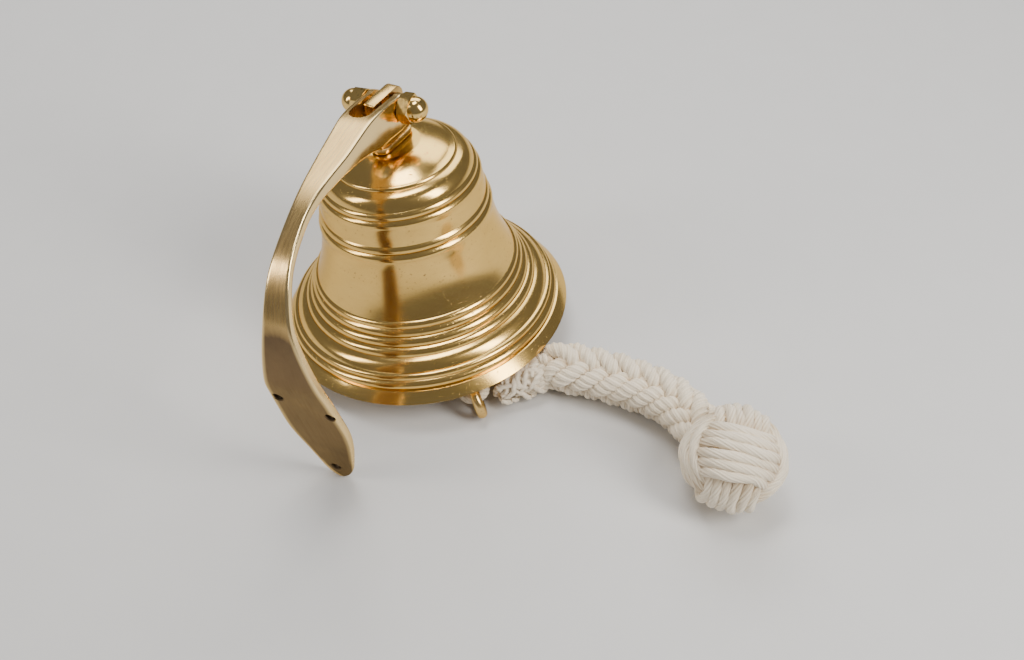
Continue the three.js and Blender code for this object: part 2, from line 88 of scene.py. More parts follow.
BRACKET_SKEW, SKEW_FROM = 0.0455, 10  # the arm's drift to one side, and the reach where it starts
TIP_LEAN, TIP_LEAN_FROM = 2.2, 110  # the tip's lean to one side, and how far down it starts
FORK_WIDTH, FORK_SLOT = 18, 11
SLOT_END, FORK_BACK = 26.5, 9.2  # how far the slot runs up the arm, and the fork behind the stud
EYE_WIRE, EYE_RING, LINK_RING = 1.9, 5.2, 6.6
WORN_WIRE = 1.75  # the link and the crown eye, thinner so that they turn in each other
TAIL_WIRE, TAIL_RING = 2.6, 7.4
ROD_RADIUS, BALL_RADIUS = 3, 10
BALL_DISTANCE = 54  # from where the clapper swings
TAIL_CENTRE = Vector((50.3, -22.7, 10.1))
NECK_ROUTE = [  # lanyard: where it lies from the rim's centre, height, radius
    (58.2, -40.8, 9, 4.4), (60.8, -35.6, 8.8, 6.4), (65, -29.2, 9.4, 8.5), (70.8, -22.9, 10.4, 9.9),
    (77, -18.2, 11.6, 11),
]
ROPE_RADIUS = 14
ROPE_ROUTE = [  # where its thick length lies from the rim's centre, and its height
    (83.6, -15.9, 14.2), (91, -14.6, 14.2), (98.5, -13.8, 14.2), (106.5, -13.4, 14.2), (115, -13.2, 14.2),
    (124, -13.4, 14.2), (133, -14.2, 14.2), (142, -16.4, 14.2), (150, -20.2, 14.2), (157, -25.2, 14.2),
    (163, -30.8, 14.2), (172, -39.3, 14.2), (181.2, -48, 14.2),
]
KNOT_RADIUS = 26

# ---- places ----------------------------------------------
JOINTS = {joint["name"]: joint for joint in frame["joints"]}


def joint_place(name):
    """Where a joint's axis passes, in millimetres."""
    return Vector(JOINTS[name]["pos_m"]) / MM


def joint_axis(name):
    return Vector(JOINTS[name]["axis"]).normalized()


def basis(x, y, z, origin):
    """A placement in metres from three axes and an origin in millimetres."""
    matrix = Matrix((x, y, z)).transposed().to_4x4()
    matrix.translation = origin * MM
    return matrix


BELL_Z = joint_axis("clapper_turn")
BELL_Y = BELL_Z.cross(-joint_axis("bracket_swing")).normalized()
BELL_X = BELL_Y.cross(BELL_Z)
RIM_CENTRE = joint_place("bracket_swing") - BELL_Z * PIVOT_HEIGHT
BELL = basis(BELL_X, BELL_Y, BELL_Z, RIM_CENTRE)
CLAPPER_PIVOT = joint_place("clapper_swing")
CLAPPER_AXIS = (TAIL_CENTRE - CLAPPER_PIVOT).normalized()
CLAPPER_LENGTH = (TAIL_CENTRE - CLAPPER_PIVOT).length
SWING_AXIS = joint_axis("clapper_swing")
UP = Vector((0, 0, 1))
LEAN_WAY = SWING_AXIS.cross(UP)
TAIL_FACING = Vector((0.776, 0.588, 0.227))  # about where the tail eye's flat side faces
TAIL_NORMAL = (TAIL_FACING - CLAPPER_AXIS * TAIL_FACING.dot(CLAPPER_AXIS)).normalized()


def quarter_turn(axis):
    """A turn of 90 degrees."""
    return Matrix.Rotation(math.radians(90), 4, axis)


def lifted(height):
    """The bell frame, moved up the bell."""
    return BELL @ Matrix.Translation((0, 0, height * MM))


ACROSS_PIVOT = lifted(PIVOT_HEIGHT) @ quarter_turn("Y")  # its z runs along the stud


def facing(z_axis, hint, origin):
    """A placement whose z is one direction and whose x leans towards another."""
    z = z_axis.normalized()
    y = z.cross(hint).normalized()
    return basis(y.cross(z), y, z, origin)


# ---- mesh helpers ----------------------------------------
def make(name, points, faces, place=Matrix.Identity(4), crease=35):
    """A smooth-shaded mesh object from points in millimetres, with edges sharper than crease degrees kept."""
    mesh = bpy.data.meshes.new(name)
    mesh.from_pydata([tuple(c * MM for c in p) for p in points], [], faces)
    piece = bpy.data.objects.new(name, mesh)
    bpy.context.scene.collection.objects.link(piece)
    piece.matrix_world = place
    tidy(piece, crease)
    return piece


def tidy(piece, crease=35):
    """Merges doubled points, turns faces outward, and shades the piece smooth between its creases."""
    work = bmesh.new()
    work.from_mesh(piece.data)
    bmesh.ops.remove_doubles(work, verts=work.verts, dist=1e-6)
    bmesh.ops.dissolve_degenerate(work, edges=work.edges, dist=1e-7)
    bmesh.ops.recalc_face_normals(work, faces=work.faces)
    work.to_mesh(piece.data)
    work.free()
    piece.data.polygons.foreach_set("use_smooth", [True] * len(piece.data.polygons))
    piece.data.set_sharp_from_angle(angle=math.radians(crease))


def finish_piece(piece, body, material, slot, *nodes):
    """Gives a piece its material, and puts it on its body in place of the CAD nodes."""
    piece.data.materials.clear()
    piece.data.materials.append(material)
    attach(piece, body)
    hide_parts(*nodes)
    return piece


def grid_faces(rows, columns, closed_rows=False):
    """Four-sided faces between rows of points, whose columns close on themselves."""
    faces = []
    for i in range(rows if closed_rows else rows - 1):
        for j in range(columns):
            k = (j + 1) % columns
            n = (i + 1) % rows
            faces.append((i * columns + j, i * columns + k, n * columns + k, n * columns + j))
    return faces


def lathe(name, profile, segments, place, closed=False, crease=35):
    """A turned solid about its own z from (radius, height) pairs."""
    points = []
    for r, h in profile:
        for j in range(segments):
            turn = 2 * math.pi * j / segments
            points.append((r * math.cos(turn), r * math.sin(turn), h))
    return make(name, points, grid_faces(len(profile), segments, closed), place, crease)


def arc(cx, cy, radius, start, end, count):
    """Points along an arc, between two angles in radians."""
    return [(cx + radius * math.cos(a), cy + radius * math.sin(a)) for a in np.linspace(start, end, count)]


def cylinder(radius, low, high, place):
    return lathe("cylinder", [(0, low), (radius, low), (radius, high), (0, high)], 48, place)


def torus(name, radius, wire, place):
    sides, arcs = 28, 72
    profile = [(radius + wire * math.cos(2 * math.pi * i / sides), wire * math.sin(2 * math.pi * i / sides))
               for i in range(sides)]
    return lathe(name, profile, arcs, place, closed=True)


def loft(name, rings, place):
    """A solid skinned over rings of points that match one another."""
    count = len(rings[0])
    points = [tuple(p) for ring in rings for p in ring]
    faces = grid_faces(len(rings), count)
    faces.append(tuple(range(count)))
    faces.append(tuple(range(len(points) - count, len(points))))
    return make(name, points, faces, place)


def bake(piece):
    """Applies a piece's modifiers to its mesh."""
    result = piece.evaluated_get(bpy.context.evaluated_depsgraph_get())
    mesh = bpy.data.meshes.new_from_object(result)
    piece.modifiers.clear()
    piece.data = mesh
    tidy(piece)


def combine(piece, tools, operation="DIFFERENCE"):
    """Cuts, joins or intersects a piece with other solids, which are used up."""
    for tool in tools:
        step = piece.modifiers.new("combine", "BOOLEAN")
        step.operation = operation
        step.solver = "EXACT"
        step.object = tool
    bpy.context.view_layer.update()
    bake(piece)
    for tool in tools:
        bpy.data.objects.remove(tool)
    return piece


def soften(piece, width):
    """Rounds a piece's sharp edges over."""
    bevel = piece.modifiers.new("soften", "BEVEL")
    bevel.width = width * MM
    bevel.segments = 2
    bevel.limit_method = "ANGLE"
    bevel.angle_limit = math.radians(50)
    bpy.context.view_layer.update()
    bake(piece)


def catmull(points, per_span):
    """Points on a smooth curve through rows of numbers."""
    rows = [np.array(p, float) for p in points]
    rows = [2 * rows[0] - rows[1]] + rows + [2 * rows[-1] - rows[-2]]
    out = []
    for i in range(1, len(rows) - 2):
        a, b, c, d = rows[i - 1:i + 3]
        for t in np.linspace(0, 1, per_span, endpoint=False):
            out.append(0.5 * (2 * b + (c - a) * t + (2 * a - 5 * b + 4 * c - d) * t ** 2
                              + (3 * b - a - 3 * c + d) * t ** 3))
    out.append(rows[-2])
    return np.array(out)


# ---- materials -------------------------------------------
class Nodes:
    """A short way to write a material's nodes."""

    def __init__(self, name, **shader_values):
        self.material = bpy.data.materials.new(name)
        self.material.use_nodes = True
        self.tree = self.material.node_tree
        self.shader = self.tree.nodes["Principled BSDF"]
        for socket, value in shader_values.items():
            self.shader.inputs[socket.replace("_", " ")].default_value = value

    def add(self, kind, inputs=None, **settings):
        node = self.tree.nodes.new(kind)
        for key, value in settings.items():
            setattr(node, key, value)
        for key, value in (inputs or {}).items():
            self.feed(node.inputs[key], value)
        return node

    def feed(self, socket, value):
        if isinstance(value, bpy.types.NodeSocket):
            self.tree.links.new(value, socket)
        elif isinstance(value, bpy.types.Node):
            self.tree.links.new(value.outputs[0], socket)
        else:
            socket.default_value = value

    def place(self, scale=(1, 1, 1)):
        """The piece's own coordinates, stretched."""
        coordinates = self.add("ShaderNodeTexCoord")
        return self.add("ShaderNodeMapping", {"Vector": coordinates.outputs["Object"], "Scale": scale})

    def noise(self, vector, scale, detail=4, roughness=0.55, distortion=0.0):
        node = self.add("ShaderNodeTexNoise", {"Vector": vector, "Scale": scale, "Detail": detail,
                                               "Roughness": roughness, "Distortion": distortion})
        return node.outputs["Fac"]

    def ramp(self, value, *stops):
        node = self.add("ShaderNodeValToRGB", {"Fac": value})
        ramp = node.color_ramp
        while len(ramp.elements) < len(stops):
            ramp.elements.new(0.5)
        for element, (position, colour) in zip(ramp.elements, stops):
            element.position = position
            element.color = (*colour, 1) if isinstance(colour, tuple) else (colour, colour, colour, 1)
        return node.outputs["Color"]

    def mix(self, factor, a, b):
        """A colour between two others. The node's colour sockets are its inputs 6 and 7 and its output 2."""
        node = self.add("ShaderNodeMix", data_type="RGBA")
        self.feed(node.inputs["Factor"], factor)
        self.feed(node.inputs[6], a)
        self.feed(node.inputs[7], b)
        return node.outputs[2]

    def weigh(self, a, share_of_a, b, share_of_b):
        """The sum of two values, each scaled."""
        return self.math("ADD", self.math("MULTIPLY", a, share_of_a), self.math("MULTIPLY", b, share_of_b))

    def math(self, operation, a, b=0.0):
        node = self.add("ShaderNodeMath", operation=operation)
        self.feed(node.inputs[0], a)
        self.feed(node.inputs[1], b)
        return node.outputs[0]

    def bump(self, height, strength, distance, normal=None):
        node = self.add("ShaderNodeBump", {"Height": height, "Strength": strength, "Distance": distance})
        if normal is not None:
            self.feed(node.inputs["Normal"], normal)
        return node.outputs["Normal"]

    def set(self, socket, value):
        self.feed(self.shader.inputs[socket], value)


EDGE_TINT = (1.0, 0.86, 0.6, 1)  # what brass reflects at a glancing angle


def hoop_height(nodes):
    """Noise drawn out into hoops round the piece's own z: fine turning and polishing marks."""
    separate = nodes.add("ShaderNodeSeparateXYZ", {"Vector": nodes.place().outputs[0]})
    radius = nodes.math("SQRT", nodes.math("ADD", nodes.math("POWER", separate.outputs["X"], 2.0),
                                           nodes.math("POWER", separate.outputs["Y"], 2.0)))
    angle = nodes.math("ARCTAN2", separate.outputs["Y"], separate.outputs["X"])
    join = nodes.add("ShaderNodeCombineXYZ", {"X": nodes.math("MULTIPLY", angle, 0.012), "Y": radius,
                                              "Z": separate.outputs["Z"]})
    return join.outputs[0]


def polished_brass():
    """Turned, hand-polished casting: hoop brushing, pits, and a warm tarnish that stays in the grooves."""
    n = Nodes("polished_brass", Metallic=1.0, Anisotropic=0.4, Specular_Tint=EDGE_TINT)
    hoops = hoop_height(n)
    brushing = n.noise(hoops, 2600, 3, 0.6)
    bands = n.noise(hoops, 420, 2, 0.5)
    clouds = n.noise(n.place(), 26, 4, 0.6, 0.4)
    pits = n.ramp(n.noise(n.place(), 900, 2, 0.5), (0.0, 0.0), (0.27, 0.0), (0.31, 1.0))
    tone = n.mix(clouds, (0.88, 0.6, 0.2, 1), (0.76, 0.48, 0.13, 1))
    tone = n.mix(n.math("MULTIPLY", bands, 0.22), tone, (0.48, 0.26, 0.06, 1))
    tone = n.mix(pits, (0.34, 0.2, 0.08, 1), tone)
    n.set("Base Color", tone)
    n.set("Roughness", n.ramp(n.weigh(brushing, 0.5, clouds, 0.5), (0.2, 0.1), (0.8, 0.24)))
    n.set("Tangent", n.add("ShaderNodeTangent", direction_type="RADIAL", axis="Z"))
    fine = n.bump(brushing, 0.12, 0.00006)
    wavy = n.bump(clouds, 0.1, 0.0006, fine)
    n.set("Normal", n.bump(pits, 0.35, 0.00012, wavy))
    return n.material


def satin_brass(name, light, dark, rough, grain=(60, 900, 900)):
    """Filed and rubbed brass: fine scratches one way, brown handling tarnish in patches."""
    n = Nodes(name, Metallic=1.0, Specular_Tint=EDGE_TINT)
    scratches = n.noise(n.place(grain), 1.0, 3, 0.65)
    patches = n.noise(n.place(), 38, 5, 0.62, 0.8)
    specks = n.ramp(n.noise(n.place(), 750, 2, 0.5), (0.0, 0.0), (0.3, 0.0), (0.36, 1.0))
    tone = n.mix(n.ramp(patches, (0.38, 0.0), (0.68, 1.0)), (*light, 1), (*dark, 1))
    tone = n.mix(specks, (*[c * 0.55 for c in dark], 1), tone)
    n.set("Base Color", tone)
    wear = n.weigh(scratches, 0.4, patches, 0.6)
    n.set("Roughness", n.ramp(wear, (0.25, rough - 0.07), (0.75, rough + 0.1)))
    fine = n.bump(scratches, 0.15, 0.00008)
    n.set("Normal", n.bump(patches, 0.12, 0.0007, fine))
    return n.material


def bracket_brass():
    """The bracket's forging: satin on its flats, brown patina on the wall plate, a painted highlight along
    the edges where they are also rubbed smoother, and painted shade in the screw holes.
    """
    n = Nodes("bracket_brass", Metallic=1.0, Specular_Tint=EDGE_TINT)
    scratches = n.noise(n.place((900, 70, 70)), 1.0, 3, 0.65)
    patches = n.noise(n.place(), 34, 5, 0.62, 0.9)
    plate = n.add("ShaderNodeAttribute", attribute_name="patina").outputs["Fac"]
    wear_and_edge_highlight = n.add("ShaderNodeAttribute", attribute_name="wear_and_edge_highlight").outputs["Fac"]
    patina = n.ramp(n.math("ADD", plate, n.math("MULTIPLY", n.math("SUBTRACT", patches, 0.5), 0.5)),
                    (0.35, 0.0), (0.62, 1.0))
    satin = n.mix(patches, (0.8, 0.55, 0.22, 1), (0.56, 0.36, 0.14, 1))
    brown = n.mix(patches, (0.24, 0.16, 0.085, 1), (0.09, 0.062, 0.042, 1))
    tone = n.mix(patina, satin, brown)
    # painted highlight: brighter gold along the edges
    tone = n.mix(wear_and_edge_highlight, tone, (0.92, 0.68, 0.32, 1))
    # painted shade: near black on the walls of the screw holes
    screw_hole_shade = n.add("ShaderNodeAttribute", attribute_name="screw_hole_shade").outputs["Fac"]
    n.set("Base Color", n.mix(screw_hole_shade, tone, (0.05, 0.035, 0.02, 1)))
    dull = n.math("MULTIPLY", patina, 0.14)
    rough = n.math("ADD", n.ramp(scratches, (0.2, 0.2), (0.8, 0.34)), dull)
    n.set("Roughness", n.math("SUBTRACT", rough, n.math("MULTIPLY", wear_and_edge_highlight, 0.12)))
    fine = n.bump(scratches, 0.07, 0.00005)
    n.set("Normal", n.bump(patches, 0.1, 0.0007, fine))
    return n.material


YARNS = 11.0  # threads side by side round one strand


def cotton():
    """Twisted cotton: yarns wound round each strand, cream on top, with painted shade that turns it tan and
    brown down in the gaps.
    """
    n = Nodes("cotton_rope", Roughness=0.95, Sheen_Weight=0.45, Sheen_Roughness=0.5)
    # painted shade: the deep attribute marks the gaps between plies, strands and tucks, and turns them brown
    # below
    deep = n.add("ShaderNodeAttribute", attribute_name="deep").outputs["Fac"]
    uv = n.add("ShaderNodeTexCoord").outputs["UV"]
    split = n.add("ShaderNodeSeparateXYZ", {"Vector": uv})
    fluff = n.noise(n.place(), 900, 5, 0.7)
    soil = n.noise(n.place(), 60, 4, 0.6)
    lay = n.math("MULTIPLY", n.math("SUBTRACT", split.outputs["Y"], split.outputs["X"]), YARNS)
    lay = n.math("ADD", lay, n.math("MULTIPLY", fluff, 0.9))
    yarns = n.math("ABSOLUTE", n.math("SINE", n.math("MULTIPLY", lay, math.pi)))
    combed = n.add("ShaderNodeMapping", {"Vector": uv, "Scale": (60, 9, 1), "Rotation": (0, 0, 0.6)})
    hair = n.noise(combed, 4, 4, 0.7)
    cream = n.mix(soil, (1.0, 0.89, 0.71, 1), (0.96, 0.82, 0.6, 1))
    # painted shade: tan in the grooves between the yarns
    cream = n.mix(n.math("MULTIPLY", n.math("SUBTRACT", 1.0, yarns), 0.4), cream, (0.78, 0.62, 0.4, 1))
    n.set("Base Color", n.mix(n.ramp(deep, (0.25, 0.0), (0.9, 1.0)), cream, (0.5, 0.33, 0.15, 1)))
    coarse = n.bump(yarns, 0.5, 0.0006)
    middle = n.bump(hair, 0.4, 0.0003, coarse)
    n.set("Normal", n.bump(fluff, 0.35, 0.0003, middle))
    return n.material


POLISHED = polished_brass()
SATIN = satin_brass("satin_brass", (0.8, 0.54, 0.2), (0.52, 0.32, 0.11), 0.25)
BRIGHT = satin_brass("bright_brass", (0.84, 0.57, 0.19), (0.66, 0.42, 0.13), 0.13, (300, 300, 300))
AGED = satin_brass("aged_brass", (0.5, 0.36, 0.17), (0.3, 0.2, 0.1), 0.42)
BRACKET = bracket_brass()
COTTON = cotton()

# ---- camera, floor and light -----------------------------
CAMERA_PLACE = Vector((231.6, -450.9, 557.3)) + Vector((RIM_CENTRE.x, RIM_CENTRE.y, 0))
CAMERA_DOWN, CAMERA_ROUND = 48.3, 22  # how far it looks down and how far round it stands, in degrees
LENS = 49.2
FLOOR_REACH, FLOOR_DROP = 2500, 0.05  # half the floor's width, and how far it lies below the bell


def add_camera():
    data = bpy.data.cameras.new("camera")
    data.lens = LENS
    camera = bpy.data.objects.new("camera", data)
    camera.location = CAMERA_PLACE * MM
    camera.rotation_euler = (math.radians(90 - CAMERA_DOWN), 0, math.radians(CAMERA_ROUND))
    bpy.context.scene.collection.objects.link(camera)
    bpy.context.scene.camera = camera


def add_floor():
    n = Nodes("floor", Roughness=0.85)
    grain = n.noise(n.place(), 40, 3, 0.5)
    n.set("Base Color", n.mix(grain, (0.64, 0.63, 0.61, 1), (0.67, 0.66, 0.64, 1)))
    r, z = FLOOR_REACH, -FLOOR_DROP
    floor = make("floor", [(-r, -r, z), (r, -r, z), (r, r, z), (-r, r, z)], [(0, 1, 2, 3)])
    floor.data.materials.append(n.material)


def add_light(name, place, aim, size, power, colour=(1, 1, 1)):
    """A soft panel of light, with its places and size in metres and its power in watts."""
    data = bpy.data.lights.new(name, "AREA")
    data.shape = "RECTANGLE"
    data.size, data.size_y = size
    data.energy = power
    data.color = colour
    light = bpy.data.objects.new(name, data)
    light.location = place
    light.rotation_euler = (Vector(aim) - Vector(place)).to_track_quat("-Z", "Y").to_euler()
    bpy.context.scene.collection.objects.link(light)


def add_world():
    world = bpy.data.worlds.new("studio")
    bpy.context.scene.world = world
    world.use_nodes = True
    background = world.node_tree.nodes["Background"]
    background.inputs["Color"].default_value = (0.9, 0.92, 1, 1)
    background.inputs["Strength"].default_value = 0.22


add_camera()
add_floor()
add_world()
add_light("window", (0.8, -0.1, 0.7), (0, 0, 0.08), (0.3, 0.75), 10, (1, 0.98, 0.95))
add_light("far_sky", (-0.3, 0.85, 0.95), (0, 0, 0.1), (1.1, 0.7), 9)
add_light("overhead", (-0.15, 0.1, 1.4), (0, 0, 0), (0.6, 0.4), 8)
add_light("near_fill", (-0.8, -0.6, 0.7), (0, 0, 0.05), (0.25, 0.6), 4, (1, 0.95, 0.88))

# ---- lanyard ---------------------------------------------
TUCK_PITCH = 10.8  # each column's tucks follow one another this far along the rope
TUCK_REACH = 9.6  # half of what one tuck covers along the rope
TUCK_SWEEP = math.radians(43)  # and half of what it covers round the rope
COLUMNS = [(-33, -1), (-118, 1), (152, -1), (57, 1)]  # a column's middle round the rope, and its hand
PLAIT_START = 20  # where along the lanyard the plait starts, past the neck
YARN_LAY = 14  # a strand's yarns go round it once in this length
TUCK_RADIUS, TUCK_THINNING = 4.35, 0.9  # at a tuck's middle, and how much thinner its ends are
TUCK_HEIGHT, TUCK_DIVE = 10.0, 4.2  # how far out its middle lies, and how far its ends dive
HEART_RADIUS = 7.0  # the cotton inside the plait
NECK_STRANDS, NECK_LAY, NECK_END = 5, 34, 34  # its strands go round it once, and then end in the plait
NECK_STRAND_RADIUS, NECK_STRAND_HEIGHT = 5, 8.4
LOOSE_ENDS, LOOSE_END_RADIUS = 16, 1.45
LOOSE_LOW, LOOSE_HIGH = 1.6, 17.5  # heights that the loose ends keep to, under the rim
KNOT_STRAND_RADIUS = 2.6
KNOT_STRANDS_AT = (-10.5, -6.3, -2.1, 2.1, 6.3, 10.5)  # a set's strands, side by side across the knot
KNOT_DIP = 3.6  # how far a strand dips where it goes under the next set
KNOT_HEART_RADIUS, KNOT_HEART_HALF = 20.5, 17
KNOT_FACE, KNOT_TILT = Vector((0.194, -0.463, 0.857)), Vector((0.969, 0.214, -0.122))
LOOP_RADIUS = 6.4
LOOP_STRANDS = ((-1.1, 1.9), (1.2, 1.8))  # each one's place beside the other, and its radius
FIBRE_ROOT, FIBRE_TIP = 0.07, 0.04  # a stray fibre's radius at each end
ROPE_FIBRES, KNOT_FIBRES = (1500, 1.5), (900, 2.0)  # how many stray fibres, and how long


def on_ground(x, y, z):
    """A point measured from the middle of the rim, with its height above the ground."""
    return (RIM_CENTRE.x + x, RIM_CENTRE.y + y, z)


def carried_frames(line):
    """Two directions square to a line at each of its points, carried along without twist."""
    tangents = np.gradient(line, axis=0)
    tangents /= np.linalg.norm(tangents, axis=1)[:, None]
    upright = abs(tangents[0][2]) > 0.9
    side = np.cross(tangents[0], (1.0, 0.0, 0.0) if upright else (0.0, 0.0, 1.0))
    side /= np.linalg.norm(side)
    sides = []
    for tangent in tangents:
        side = side - tangent * side.dot(tangent)
        side /= np.linalg.norm(side)
        sides.append(side.copy())
    sides = np.array(sides)
    return sides, np.cross(tangents, sides)


def distance_along(line):
    return np.concatenate(([0], np.cumsum(np.linalg.norm(np.diff(line, axis=0), axis=1))))


def round_ellipse(x_way, y_way, x_radius, y_radius, turns):
    """Offsets round an ellipse, from its two directions and radii."""
    return x_way * (x_radius * np.cos(turns))[:, None] + y_way * (y_radius * np.sin(turns))[:, None]


class Bundle:
    """Gathers the twisted strands of one rope piece into a single mesh."""

    def __init__(self):
        self.points, self.outward, self.faces, self.uvs, self.gap_shades = [], [], [], [], []

    def strand(self, line, radii, gap_shades, sides=32, lobes=4, lobe_depth=0.26, lay=YARN_LAY, phase=0.0):
        """A strand of plied yarns along a line, closed at both ends."""
        right, up = carried_frames(line)
        along = distance_along(line)
        radii, gap_shades = np.broadcast_to(radii, len(line)), np.broadcast_to(gap_shades, len(line))
        start = len(self.points)
        turns = np.linspace(0, 2 * math.pi, sides, endpoint=False)
        for i in range(len(line)):
            twist = 2 * math.pi * along[i] / lay + phase
            ply = np.abs(np.cos(lobes * (turns - twist) / 2))
            radius = radii[i] * (1 - lobe_depth + lobe_depth * ply ** 0.7)
            out = round_ellipse(right[i], up[i], radius, radius, turns)
            self.points += [tuple(p) for p in line[i] + out]
            self.outward += [tuple(p) for p in out]
            # painted shade: the deep value grows in the valleys between the plied yarns
            self.gap_shades += list(gap_shades[i] + 0.35 * (1 - ply))
        self.close(start, len(line), sides, along / lay)

    def close(self, start, rows, sides, u):
        """Skins the strand whose rings were just added, and caps its ends."""
        for i in range(rows - 1):
            for j in range(sides):
                k = (j + 1) % sides
                a, b = start + i * sides, start + (i + 1) * sides
                self.faces.append((a + j, a + k, b + k, b + j))
                v0, v1 = j / sides, (j + 1) / sides
                self.uvs += [(u[i], v0), (u[i], v1), (u[i + 1], v1), (u[i + 1], v0)]
        self.faces.append(tuple(reversed(range(start, start + sides))))
        self.faces.append(tuple(range(start + (rows - 1) * sides, start + rows * sides)))
        self.uvs += [(u[0], 0)] * sides + [(u[-1], 0)] * sides

    def fuzz(self, count, length):
        """Fine stray fibres that stand out from the strands' surfaces."""
        rng = np.random.default_rng(5)
        roots = rng.choice(len(self.points), count)
        t = np.linspace(0, 1, 5)[:, None]
        for root in roots:
            start = np.array(self.points[root])
            out = np.array(self.outward[root])
            out = out / (np.linalg.norm(out) + 1e-6) + rng.normal(0, 0.45, 3)
            curl = rng.normal(0, 0.55, 3)
            line = start + (out * t + curl * t ** 2) * length * rng.uniform(0.3, 1)
            line[:, 2] = np.maximum(line[:, 2], 0.2)
            radii = np.linspace(FIBRE_ROOT, FIBRE_TIP, len(line))
            self.strand(line, radii, 0.0, sides=3, lobes=0, lobe_depth=0)

    def piece(self, name):
        mesh = bpy.data.meshes.new(name)
        mesh.from_pydata([tuple(c * MM for c in p) for p in self.points], [], self.faces)
        layer = mesh.uv_layers.new(name="yarn")
        layer.data.foreach_set("uv", [c for uv in self.uvs for c in uv])
        # the deep attribute holds the painted shade for the gaps
        deep = mesh.attributes.new("deep", "FLOAT", "POINT")
        deep.data.foreach_set("value", self.gap_shades)
        mesh.polygons.foreach_set("use_smooth", [True] * len(mesh.polygons))
        piece = bpy.data.objects.new(name, mesh)
        bpy.context.scene.collection.objects.link(piece)
        return piece


def lanyard_line():
    """The lanyard's middle from the tail eye to the knot, and its outer radius there."""
    rows = [(*on_ground(x, y, z), radius) for x, y, z, radius in NECK_ROUTE]
    rows += [(*on_ground(x, y, z), ROPE_RADIUS) for x, y, z in ROPE_ROUTE]
    dense = catmull(rows, 14)
    return dense[:, :3], dense[:, 3]


def wander(seed, count, size):
    """A smooth wobble, for strands that don't lie quite true."""
    rng = np.random.default_rng(seed)
    knots = rng.normal(0, size, (max(4, count // 9), 3))
    where = np.linspace(0, len(knots) - 1, count)
    return np.stack([np.interp(where, range(len(knots)), knots[:, axis]) for axis in range(3)], 1)


class Lay:
    """The lanyard's line, with its directions and its outer radius, for placing strands round it."""

    def __init__(self):
        self.line, self.outer = lanyard_line()
        self.right, self.up = carried_frames(self.line)
        self.along = distance_along(self.line)

    def blend(self, rows, at):
        """Rows that belong to the line's points, read at distances along it."""
        if rows.ndim == 1:
            return np.interp(at, self.along, rows)
        return np.stack([np.interp(at, self.along, rows[:, axis]) for axis in range(3)], 1)

    def round_about(self, at, turn, radius):
        """Points at distances along the line, turned round it, that far out."""
        right, up = self.blend(self.right, at), self.blend(self.up, at)
        return self.blend(self.line, at) + round_ellipse(right, up, radius, radius, turn)

    def scale(self, at):
        """How thick the lanyard is there, where 1 is its full thickness."""
        return self.blend(self.outer, at) / ROPE_RADIUS


def above_ground(path, radii):
    """The path, lifted where a strand of those radii would go into the ground."""
    path[:, 2] = np.maximum(path[:, 2], radii + 0.1)
    return path


def add_tuck(bundle, lay, middle, turn, hand, rng):
    """One fat tuck of the plait, whose ends dive under its neighbours."""
    t = np.linspace(-1, 1, 40)
    at = np.clip(middle + rng.normal(0, 0.3) + TUCK_REACH * t, 0, lay.along[-1])
    scale = lay.scale(at)
    around = turn + rng.normal(0, 0.05) + hand * TUCK_SWEEP * t
    radii = scale * (TUCK_RADIUS - TUCK_THINNING * np.abs(t) ** 3) * rng.uniform(0.96, 1.04)
    path = lay.round_about(at, around, scale * (TUCK_HEIGHT - TUCK_DIVE * np.abs(t) ** 2.6))
    # painted shade on the tuck's ends, where they dive under their neighbours
    bundle.strand(above_ground(path, radii), radii, 0.9 * np.abs(t) ** 4, phase=rng.uniform(0, 6))


def add_plait(bundle, lay):
    """Four columns of tucks, slanting one way and the other in turn."""
    rng = np.random.default_rng(11)
    for c, (turn, hand) in enumerate(COLUMNS):
        first = PLAIT_START + TUCK_PITCH * (0.5 if c % 2 else 0.0)
        for middle in np.arange(first, lay.along[-1], TUCK_PITCH):
            add_tuck(bundle, lay, middle, math.radians(turn), hand, rng)


def add_neck(bundle, lay):
    """The strands drawn together at the tail eye, and the loose thin ends that stray over them."""
    at = np.arange(0, NECK_END, 0.6)
    for k in range(NECK_STRANDS):
        turn = -2 * math.pi * at / NECK_LAY + 2 * math.pi * k / NECK_STRANDS
        scale = lay.scale(at) * np.clip((NECK_END + 6 - at) / 14, 0.4, 1)
        radii = scale * NECK_STRAND_RADIUS
        path = lay.round_about(at, turn, scale * NECK_STRAND_HEIGHT) + wander(k, len(at), 0.4)
        # a little painted shade on the neck strands
        bundle.strand(above_ground(path, radii), radii, 0.15, lay=10, phase=k)
    rng = np.random.default_rng(3)
    for k in range(LOOSE_ENDS):
        at = rng.uniform(-4, 20) + np.arange(0, rng.uniform(10, 22), 0.6)
        at = np.clip(at, 0.01, None)
        turn = rng.uniform(-3.1, 0.6) + rng.choice([-1, 1]) * np.linspace(0, rng.uniform(1.2, 3), len(at))
        path = lay.round_about(at, turn, lay.blend(lay.outer, at) * rng.uniform(0.85, 1.05) + 0.6)
        path += wander(40 + k, len(at), 0.7)
        path[:, 2] = np.clip(path[:, 2], LOOSE_LOW, LOOSE_HIGH)
        taper = np.sin(np.linspace(0.4, math.pi - 0.4, len(at))) ** 0.5
        # a little painted shade on the loose ends
        bundle.strand(path, LOOSE_END_RADIUS * taper, 0.1, sides=12, lobes=2, lay=7, phase=k)


def add_lanyard():
    bundle, lay = Bundle(), Lay()
    add_plait(bundle, lay)
    add_neck(bundle, lay)
    # the heart inside the plait is painted fully in shade
    bundle.strand(lay.line, lay.scale(lay.along) * HEART_RADIUS, 1.0, sides=16)
    bundle.fuzz(*ROPE_FIBRES)
    rope = finish_piece(bundle.piece("lanyard_plait"), "lanyard", COTTON, "cotton_rope",
                        "lanyard_neck", "lanyard_rope")
    knot = add_knot()
    loop = add_loop()


